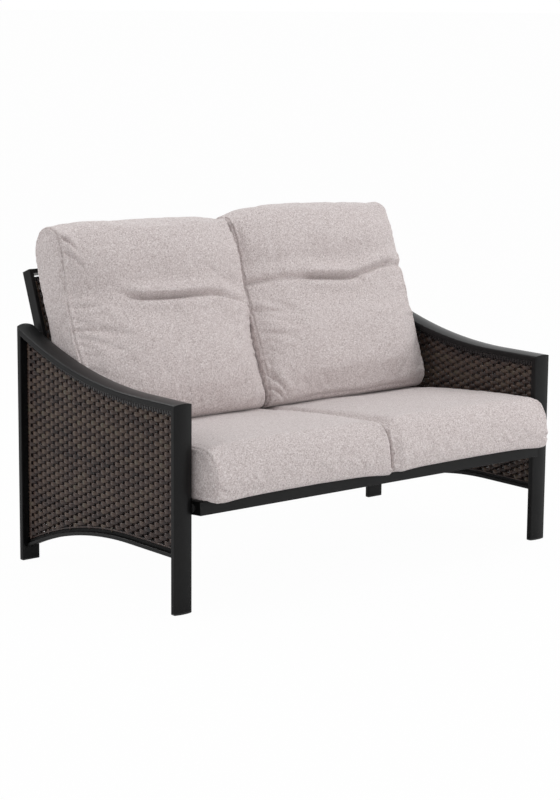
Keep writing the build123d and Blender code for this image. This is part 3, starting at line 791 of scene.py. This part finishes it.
def puff(obj, pinned, pressure, grow, cap):
    """Lets the cloth swell and wrinkle between its seams, then keeps each move under a cap."""
    before = points_of(obj).copy()
    group = obj.vertex_groups.new(name="pin")
    for i in np.nonzero(pinned > 0.01)[0]:
        group.add([int(i)], float(pinned[i]), "REPLACE")
    cloth = obj.modifiers.new("cloth", "CLOTH")
    values = cloth.settings
    values.quality = 5
    values.mass = 0.25
    values.tension_stiffness = 12
    values.compression_stiffness = 12
    values.shear_stiffness = 4
    values.bending_stiffness = 0.6
    values.use_pressure = True
    values.uniform_pressure_force = pressure
    values.vertex_group_mass = "pin"
    values.pin_stiffness = 3
    values.shrink_min = -grow
    values.effector_weights.gravity = 0
    cloth.collision_settings.use_collision = False
    scene = bpy.context.scene
    for step in range(1, CLOTH_FRAMES + 1):
        scene.frame_set(step)
    applied(obj)
    scene.frame_set(1)
    obj.vertex_groups.clear()
    move = points_of(obj) - before
    size = np.linalg.norm(move, axis=1)
    move *= (np.minimum(size, cap) / np.maximum(size, 1e-9))[:, None]
    set_points(obj, before + move)


def refine(obj):
    more = obj.modifiers.new("subdivision", "SUBSURF")
    more.levels = 1
    more.render_levels = 1
    applied(obj)


def finish_cushion(obj, cad, body):
    obj.data.materials.clear()
    obj.data.materials.append(FABRIC)
    obj.data.polygons.foreach_set("use_smooth", [True] * len(obj.data.polygons))
    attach(obj, body)
    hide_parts(cad)


# Back cushions

# Folds: a line of places across the seat and up the back, each with its strength, and then the
# fold's depth, width and roll, all in metres
LEFT_FOLDS = (
    (((-0.500, 0.500, 0.0), (-0.455, 0.488, 0.15), (-0.430, 0.478, 0.55), (-0.395, 0.470, 0.9),
      (-0.329, 0.466, 1.0), (-0.272, 0.464, 1.0), (-0.213, 0.466, 0.8), (-0.155, 0.466, 0.5),
      (-0.102, 0.456, 0.4), (-0.030, 0.436, 0.2)), 0.020, 0.0085, 0.021),
    (((-0.622, 0.470, 0.8), (-0.580, 0.464, 1.0), (-0.530, 0.460, 0.0)), 0.0035, 0.006, 0.003),
    (((-0.622, 0.404, 0.8), (-0.560, 0.392, 1.0), (-0.505, 0.383, 0.0)), 0.0035, 0.006, 0.003),
    (((-0.620, 0.655, 1.0), (-0.600, 0.640, 0.8), (-0.575, 0.610, 0.0)), 0.006, 0.005, 0.004),
    (((-0.620, 0.620, 0.8), (-0.595, 0.600, 0.8), (-0.570, 0.560, 0.0)), 0.005, 0.005, 0.003),
)
RIGHT_FOLDS = (
    (((0.010, 0.490, 0.5), (0.113, 0.490, 0.35), (0.200, 0.486, 0.45), (0.238, 0.480, 1.0),
      (0.304, 0.475, 1.0), (0.372, 0.471, 1.0), (0.400, 0.474, 0.8), (0.415, 0.478, 0.6),
      (0.483, 0.494, 0.55), (0.560, 0.510, 0.5), (0.588, 0.508, 0.35), (0.626, 0.498, 0.2)),
     0.021, 0.0085, 0.022),
    (((0.408, 0.478, 0.8), (0.425, 0.458, 0.8), (0.440, 0.430, 0.0)), 0.005, 0.007, 0.003),
    (((0.575, 0.337, 0.0), (0.600, 0.337, 0.8), (0.624, 0.335, 1.0)), 0.005, 0.005, 0.003),
    (((0.008, 0.402, 0.9), (0.060, 0.395, 0.8), (0.120, 0.386, 0.0)), 0.007, 0.008, 0.005),
    (((0.020, 0.330, 0.7), (0.060, 0.322, 1.0), (0.110, 0.318, 0.0)), 0.004, 0.008, 0.003),
    (((0.008, 0.205, 0.8), (0.030, 0.175, 1.0), (0.055, 0.140, 0.3)), 0.007, 0.007, 0.005),
    (((0.008, 0.165, 0.8), (0.028, 0.148, 1.0), (0.050, 0.128, 0.3)), 0.006, 0.006, 0.004),
    (((0.020, 0.118, 0.5), (0.090, 0.122, 1.0), (0.300, 0.124, 1.0), (0.520, 0.126, 0.8),
      (0.620, 0.130, 0.0)), 0.0035, 0.0045, 0.002),
)
# How far a left back cushion's ends stand forward, in millimetres, at heights up the back
LEFT_INNER = (
    (0.06, -4), (0.155, -18), (0.248, -28), (0.331, -24), (0.41, 0), (0.512, 12), (0.60, 6), (0.68, 0),
)
LEFT_OUTER = (
    (0.10, -14), (0.25, -12), (0.30, -12), (0.378, -20), (0.457, -9), (0.515, -8), (0.59, 4), (0.68, 2),
)
# How far the top of a back cushion is raised, in millimetres, at places across the seat
LEFT_TOP = (
    (-0.63, -3), (-0.56, -5), (-0.40, -9), (-0.28, -11), (-0.15, -12), (-0.04, -15), (0.0, -8),
)
RIGHT_TOP = (
    (0.0, -6), (0.06, 3), (0.15, 6), (0.28, 7), (0.36, 3), (0.45, -1), (0.57, -5), (0.61, 3), (0.63, 7),
)
# Ramps, here and below: 0 at the first number and 1 at the second. These fade the tables out
TOP_RAMP, FACE_RAMP = (0.42, 0.60), (0.03, 0.12)
LEFT_INNER_FADE = ((0.6, (-0.07, -0.005)), (0.4, (-0.28, -0.03)))
LEFT_OUTER_FADE = ((0.6, (-0.56, -0.62)), (0.4, (-0.36, -0.60)))
BACK_LAYERS = ((0.0022, 0.16), (0.0007, 0.045))
BACK_LAYER_LEAST = 0.3
BACK_SEAM, BACK_PUCKERS = 0.0045, (0.0014, 0.0032)
BACK_FREE_OUT, BACK_FREE_UP = (0.035, 0.06), (0.125, 0.15)  # where the swelling cloth is free
BACK_FRONT, BACK_SWELL, BACK_CAP = (0.15, 0.6), (0.3, 0.8), (0.004, 0.010)


def ramp(value, low, high):
    return steps(low, high, value)


# Where a cover stands off its solid: a ramp across the seat, a ramp or a hill up the back, a ramp out
# of its front, and the move there across, up and out, in metres
LEFT_PLACES = (
    ((-0.575, -0.615), (hill, 0.655, 0.045), (0.09, 0.15), (0, 0.012, 0.009)),  # outer top corner
    ((-0.56, -0.62), (ramp, 0.58, 0.64), (0.10, 0.04), (0, -0.006, 0)),  # rear edge of the top
    ((-0.60, -0.63), (hill, 0.36, 0.06), (0.11, 0.05), (-0.005, 0, 0)),  # rear edge of the outer end
)
RIGHT_PLACES = (
    ((0.50, 0.62), (hill, 0.45, 0.05), (0.05, 0.12), (0.003, 0, 0.009)),  # belly at the outer end
)
# The right cushion's rounded inner end: its depth and reach, and ramps out of the front and up the back
ROUND_DEPTH, ROUND_REACH, ROUND_OUT, ROUND_UP = 0.020, 0.042, (0.05, 0.13), (0.68, 0.58)


def shaped(points, heights, places, outward):
    """Points with the top raised by millimetres across the seat, moved outward, and moved at places."""
    x = points[:, 0]
    up, out = back_frame(points)
    raised = MM * table(x, heights) * steps(*TOP_RAMP, up)
    points = points + UP * raised[:, None] + OUT * outward[:, None]
    for across, (form, *sizes), outer, (right, rise, forward) in places:
        share = steps(*across, x) * form(up, *sizes) * steps(*outer, out)
        points = points + (UP * rise + OUT * forward) * share[:, None]
        points[:, 0] += right * share
    return points


def faded(x, fade):
    return sum(share * steps(*across, x) for share, across in fade)


def left_shape(points):
    """The left cushion's two ends stand or sink by their tables."""
    x = points[:, 0]
    up, out = back_frame(points)
    inner = table(up, LEFT_INNER) * faded(x, LEFT_INNER_FADE)
    outer = table(up, LEFT_OUTER) * faded(x, LEFT_OUTER_FADE)
    return shaped(points, LEFT_TOP, LEFT_PLACES, MM * (inner + outer) * steps(*FACE_RAMP, out))


def right_shape(points):
    """The right cushion rounds off towards the left one."""
    up, out = back_frame(points)
    from_end = 1 - np.clip(points[:, 0] / ROUND_REACH, 0, 1)
    inward = ROUND_DEPTH * (1 - np.sqrt(np.clip(1 - from_end**2, 0, 1)))
    inward *= steps(*ROUND_OUT, out) * steps(*ROUND_UP, up)
    return shaped(points, RIGHT_TOP, RIGHT_PLACES, -inward)


def back_cushion(side_name, folds, shape, seed):
    cad = side_name + "_back_cushion"
    side = SIDES[side_name]
    obj = cushion_blank(side_name + "_back_pillow", cad)
    seams = (side * SEAM_OUTER, side * SEAM_INNER)
    points = points_of(obj)
    up, out = back_frame(points)
    pinned = held_seams(points, seams)
    pinned = np.maximum(pinned, 1 - steps(*BACK_FREE_OUT, out))
    pinned = np.maximum(pinned, 1 - steps(*BACK_FREE_UP, up))
    cap = BACK_CAP[0] + BACK_CAP[1] * steps(*BACK_SWELL, normals_of(obj) @ OUT)
    puff(obj, pinned, pressure=4.0, grow=0.02, cap=cap)
    refine(obj)
    crowd(obj, seams)
    points, normals = points_of(obj), normals_of(obj)
    up, _ = back_frame(points)
    front = steps(*BACK_FRONT, normals @ OUT)
    amount = np.zeros(len(points))
    for line, depth, width, over in folds:
        amount += crease(points[:, 0], up, line, depth, width, over)
    amount *= front
    amount += uneven(points, BACK_LAYERS, BACK_LAYER_LEAST + (1 - BACK_LAYER_LEAST) * front, seed)
    set_points(obj, shape(moved(points, normals, amount)))
    press_seams(obj, seams, BACK_SEAM, BACK_PUCKERS, seed + 5)
    finish_cushion(obj, cad, side_name + "_back_pad")


# Seat cushions

SEAT_LAYERS = ((0.0012, 0.19), (0.0004, 0.05))
SEAT_SEAM, SEAT_PUCKERS = 0.0026, (0.0009, 0.0009)
FRONT_ROLL = 0.018  # how far the lower front edge bulges forward and down
FRONT_SAG = 0.0055  # how far it hangs over the front rail
RAIL_GAP = 0.0004  # what it keeps from the rail behind that
END_PULL, END_PULL_LOW = 6.0, 6.0  # millimetres that the outer end draws in, and more low in front
INNER_SPREAD = 0.002
# Ramps above the seat's origin, behind it, by how a surface faces, and by its reach from the middle
SEAT_FREE_UP, SEAT_HELD_REAR, SOFT_UP = (0.050, 0.080), (0.42, 0.48), (0.040, 0.085)
UPPER, FRONTAL, NOT_END, NOT_SIDE = (-0.2, 0.3), (0.1, 0.6), (1.0, 0.4), (1.0, 0.5)
ROLL_AHEAD, SAG_AHEAD, SAG_UP, SAG_REACH = (0.03, 0.0), (-0.002, -0.025), (0.08, 0.0), (0.66, 0.58)
PULL_REACH, PULL_UP, PULL_AHEAD, SPREAD_REACH = (0.45, 0.63), (0.10, 0.0), (0.0, -0.05), (0.05, 0.0)
RAIL_FROM, FREE_DROP = -0.003, -0.01  # behind the first, the cushion stays above the rail


def seat_cushion(side_name, foot, round_reach, round_end, round_depth, seed):
    """foot is how far the end's lower edge stands out; the last sizes round the inner upper edge."""
    cad = side_name + "_seat_cushion"
    side = SIDES[side_name]
    obj = cushion_blank(side_name + "_seat_pad_cover", cad)
    seams = (side * SEAM_OUTER, side * SEAM_INNER)
    points = points_of(obj)
    ahead, above = seat_frame(points)
    pinned = held_seams(points, seams)
    pinned = np.maximum(pinned, 1 - steps(*SEAT_FREE_UP, above))
    pinned = np.maximum(pinned, steps(*SEAT_HELD_REAR, ahead))
    puff(obj, pinned, pressure=3.0, grow=0.012, cap=0.004)
    refine(obj)
    crowd(obj, seams)

    points, normals = points_of(obj), normals_of(obj)
    ahead, above = seat_frame(points)
    reach = side * points[:, 0]
    shown = np.maximum(steps(*UPPER, normals[:, 2]), steps(*FRONTAL, -normals[:, 1]))
    down = np.clip(normals @ -ABOVE, 0, 1)
    forward = np.clip(normals @ -ALONG, 0, 1)
    outward = np.abs(normals[:, 0])
    amount = uneven(points, SEAT_LAYERS, shown * steps(*SOFT_UP, above), seed)
    amount += FRONT_ROLL * forward * down * steps(*ROLL_AHEAD, ahead) * steps(*NOT_END, outward)
    amount += foot * outward * down
    amount -= round_depth * steps(round_reach, round_end, reach) * shown * steps(*NOT_SIDE, outward)
    points = moved(points, normals, amount)

    ahead, above = seat_frame(points)
    lift = above - SEAT_RAIL
    drop = -FRONT_SAG * steps(*SAG_AHEAD, ahead) * steps(*SAG_UP, lift) * steps(*SAG_REACH, reach)
    lowest = np.where(ahead > RAIL_FROM, RAIL_GAP, FREE_DROP)
    points += ABOVE * np.maximum(drop, lowest - lift)[:, None]
    pull = END_PULL + END_PULL_LOW * steps(*PULL_UP, lift) * steps(*PULL_AHEAD, ahead)
    points[:, 0] -= side * MM * steps(*PULL_REACH, reach) * pull
    points[:, 0] += side * INNER_SPREAD * steps(*SPREAD_REACH, reach)
    set_points(obj, points)
    moved_seams = (seams[0] - side * END_PULL * MM, seams[1] + side * INNER_SPREAD)
    press_seams(obj, moved_seams, SEAT_SEAM, SEAT_PUCKERS, seed + 5)
    finish_cushion(obj, cad, side_name + "_seat_pad")


seat_cushion("left", foot=0.010, round_reach=0.016, round_end=0.002, round_depth=0.003, seed=101)
seat_cushion("right", foot=0.002, round_reach=0.045, round_end=0.004, round_depth=0.011, seed=202)
back_cushion("left", LEFT_FOLDS, left_shape, 303)
back_cushion("right", RIGHT_FOLDS, right_shape, 404)


# Floor, room, lamps and camera

FLOOR_HALF = 400.0
FLOOR_GLOW = 0.975  # share of plain white in the floor as the camera sees it; the rest is shaded
ROOM_WAY, ROOM_DIM, ROOM_BRIGHT = (0.64, -0.77, 0.0), 0.34, 0.72
MIRROR_WAY, MIRROR_FROM, MIRROR_TO, MIRROR_DIM = (-0.86, 0.51, 0.0), 0.35, 0.95, 0.35
LAMPS = (  # name, place, aim, watts, size
    ("key", (-3.4, 1.8, 2.9), (0, 0, 0.5), 40, (1.8, 1.8)),
    ("rear", (-0.8, 3.9, 3.2), (0, 0, 0.6), 36, (2.4, 1.0)),
    ("fill", (2.4, -2.9, 1.8), (0, 0, 0.4), 37, (2.0, 2.0)),
    ("left", (-3.0, -3.3, 1.3), (0, 0, 0.3), 12, (2.0, 2.0)),
    ("top", (0.6, -0.6, 4.2), (0, 0, 0.4), 34, (2.6, 1.8)),
)
# The camera, fitted to the photograph
AZIMUTH, ELEVATION, ROLL = radians(-39.485), radians(10.357), radians(0.463)
TARGET = Vector((-0.01894, 0.4 + FRONT, 0.44819))
DISTANCE = 6.36375
SENSOR = 36.0
FOCAL_PIXELS, PICTURE_PIXELS = 2163.73, 800


def direct_rays(tree):
    """The light path node, and a node that is 1 for camera and transmission rays."""
    path = node(tree, "ShaderNodeLightPath")
    return path, maths(tree, "MAXIMUM", (path, "Is Camera Ray"), (path, "Is Transmission Ray"))


def ground():
    """A pale floor: nearly plain white to the camera, so that it shows soft contact shadows only."""
    mat, tree, shader = new_material("white_floor", (0.8, 0.8, 0.8), 0.9)
    _, direct = direct_rays(tree)
    amount = maths(tree, "MULTIPLY", (direct, "Value"), FLOOR_GLOW)
    glow = node(tree, "ShaderNodeEmission", Strength=1.0)
    glow.inputs["Color"].default_value = (1, 1, 1, 1)
    mix = node(tree, "ShaderNodeMixShader")
    link(tree, amount, "Value", mix, "Fac")
    link(tree, shader, "BSDF", mix, 1)
    link(tree, glow, "Emission", mix, 2)
    link(tree, mix, "Shader", tree.nodes["Material Output"], "Surface")
    corners = [(a * FLOOR_HALF, b * FLOOR_HALF, 0) for a, b in ((-1, -1), (1, -1), (1, 1), (-1, 1))]
    floor = put_mesh("floor", corners, [(0, 1, 2, 3)], False)
    floor.data.materials.append(mat)


def room():
    """White to the camera; a soft room, brighter on one side, to every other ray."""
    world = bpy.data.worlds.new("studio")
    bpy.context.scene.world = world
    world.use_nodes = True
    tree = world.node_tree
    background = tree.nodes["Background"]
    background.inputs["Color"].default_value = (1, 1, 1, 1)
    path, direct = direct_rays(tree)
    coords = node(tree, "ShaderNodeTexCoord")
    levels = []
    for way, values, options in (
        (ROOM_WAY, (ROOM_DIM, ROOM_BRIGHT, -1.0, 1.0), {}),
        (MIRROR_WAY, (1.0, MIRROR_DIM, MIRROR_FROM, MIRROR_TO), {"interpolation_type": "SMOOTHSTEP"}),
    ):
        facing = node(tree, "ShaderNodeVectorMath", operation="DOT_PRODUCT")
        facing.inputs[1].default_value = way
        link(tree, coords, "Generated", facing, 0)
        levels.append(remap(tree, facing, "Value", *values, **options))
    indoors = node(tree, "ShaderNodeMix", data_type="FLOAT")
    link(tree, path, "Is Glossy Ray", indoors, "Factor")
    link(tree, levels[0], "Result", indoors, "A")
    link(tree, levels[1], "Result", indoors, "B")
    strength = node(tree, "ShaderNodeMix", data_type="FLOAT")
    strength.inputs["B"].default_value = 1.0
    link(tree, direct, "Value", strength, "Factor")
    link(tree, indoors, "Result", strength, "A")
    link(tree, strength, "Result", background, "Strength")


def lamp(name, place, aim, power, size):
    light = bpy.data.lights.new(name, "AREA")
    light.energy = power
    light.shape = "RECTANGLE"
    light.size, light.size_y = size
    obj = bpy.data.objects.new(name, light)
    obj.location = place
    obj.rotation_euler = (Vector(aim) - Vector(place)).to_track_quat("-Z", "Y").to_euler()
    bpy.context.collection.objects.link(obj)


def camera():
    back = Vector((sin(AZIMUTH) * cos(ELEVATION), -cos(AZIMUTH) * cos(ELEVATION), sin(ELEVATION)))
    right = Vector((cos(AZIMUTH), sin(AZIMUTH), 0))
    up = back.cross(right)
    cam_x = cos(ROLL) * right + sin(ROLL) * up
    cam_y = -sin(ROLL) * right + cos(ROLL) * up
    data = bpy.data.cameras.new("camera")
    data.sensor_fit = "AUTO"
    data.sensor_width = SENSOR
    data.lens = FOCAL_PIXELS / PICTURE_PIXELS * SENSOR
    obj = bpy.data.objects.new("camera", data)
    bpy.context.collection.objects.link(obj)
    turn = Matrix((cam_x, cam_y, back)).transposed()
    obj.matrix_world = Matrix.Translation(TARGET + back * DISTANCE) @ turn.to_4x4()
    bpy.context.scene.camera = obj


ground()
room()
for values in LAMPS:
    lamp(*values)
camera()

bpy.context.scene.view_settings.view_transform = "Standard"
